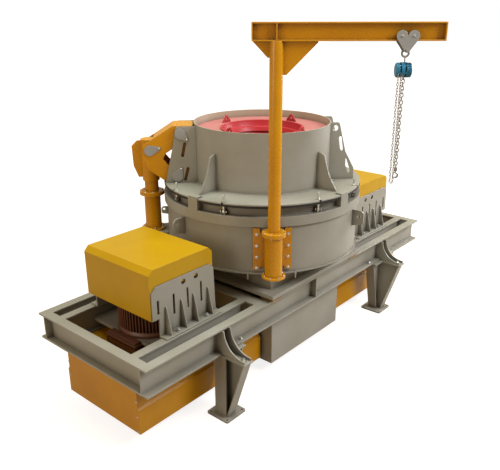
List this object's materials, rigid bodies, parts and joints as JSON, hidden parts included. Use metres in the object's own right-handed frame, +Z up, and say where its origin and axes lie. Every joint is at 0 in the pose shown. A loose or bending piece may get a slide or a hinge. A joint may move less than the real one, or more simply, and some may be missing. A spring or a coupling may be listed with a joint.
{
  "type": "vertical shaft impact crusher",
  "caption": "Vertical shaft impact crusher on a girder frame, with twin hooded belt-drive motors, feed hopper, lid lifter and slewing jib crane.",
  "frame": {"origin": "on the rotor axis at floor level, in the plane of the foot plates' undersides", "axes": "+X along the frame from the left motor to the right motor, -Y towards the jib crane's side, +Z up"},
  "size_m": [5.5, 3.4351, 4.077],
  "materials": {
    "grey_paint": "satin grey paint on fabricated steel",
    "yellow_paint": "satin yellow paint on fabricated steel",
    "black_rubber": "moulded black rubber",
    "pink_paint": "pale red paint",
    "red_paint": "red paint",
    "steel_grey": "grey painted steel",
    "blue_paint": "blue enamel",
    "zinc_plate": "zinc plated steel",
    "maroon_paint": "dark red-brown paint on cast iron"
  },
  "bodies": {
    "machine": {"back_girder": "grey_paint", "back_left_leg": "grey_paint", "back_right_leg": "grey_paint", "body_base": "grey_paint", "body_lugs": "grey_paint", "body_shell": "grey_paint", "discharge_chute": "grey_paint", "front_girder": "grey_paint", "front_left_leg": "grey_paint", "front_right_leg": "grey_paint", "inner_rails": "grey_paint", "isolator_pads": "black_rubber", "isolator_plates": "yellow_paint", "jib_bracket": "yellow_paint", "left_belt_guard": "yellow_paint", "left_cross_girder": "grey_paint", "left_end_girder": "grey_paint", "left_motor": "maroon_paint", "left_motor_brackets": "grey_paint", "left_motor_hood": "yellow_paint", "lifter_bracket": "grey_paint", "lifter_post": "yellow_paint", "right_belt_guard": "yellow_paint", "right_cross_girder": "grey_paint", "right_end_girder": "grey_paint", "right_motor": "maroon_paint", "right_motor_brackets": "grey_paint", "right_motor_hood": "yellow_paint", "rim_ring": "grey_paint"},
    "lid": {"cover_plate": "grey_paint", "feed_hopper": "grey_paint", "hopper_gussets": "grey_paint", "lifting_lugs": "grey_paint", "spare_lugs": "grey_paint", "feed_plate": "pink_paint", "feed_funnel": "red_paint", "lifter_head": "yellow_paint", "lifter_arm": "yellow_paint", "lifter_pins": "steel_grey", "clamp_bolts": "zinc_plate"},
    "jib": {"jib_post": "yellow_paint", "jib_beam": "yellow_paint"},
    "hoist_trolley": {"trolley": "steel_grey", "hoist": "blue_paint", "load_chain": "zinc_plate", "hand_chain": "zinc_plate"}
  },
  "joints": [
    {"name": "lid_raise", "type": "slide", "parent": "machine", "child": "lid", "axis": [0, 0, 1], "range_m": [0, 0.15]},
    {"name": "jib_swing", "type": "hinge", "parent": "machine", "child": "jib", "pos_m": [-0.95318, -0.95318, 1.9], "axis": [0, 0, 1], "range_deg": [-200, 30]},
    {"name": "trolley_travel", "type": "slide", "parent": "jib", "child": "hoist_trolley", "axis": [0.6481, -0.7615, 0], "range_m": [-0.7, 0.22]}
  ]
}
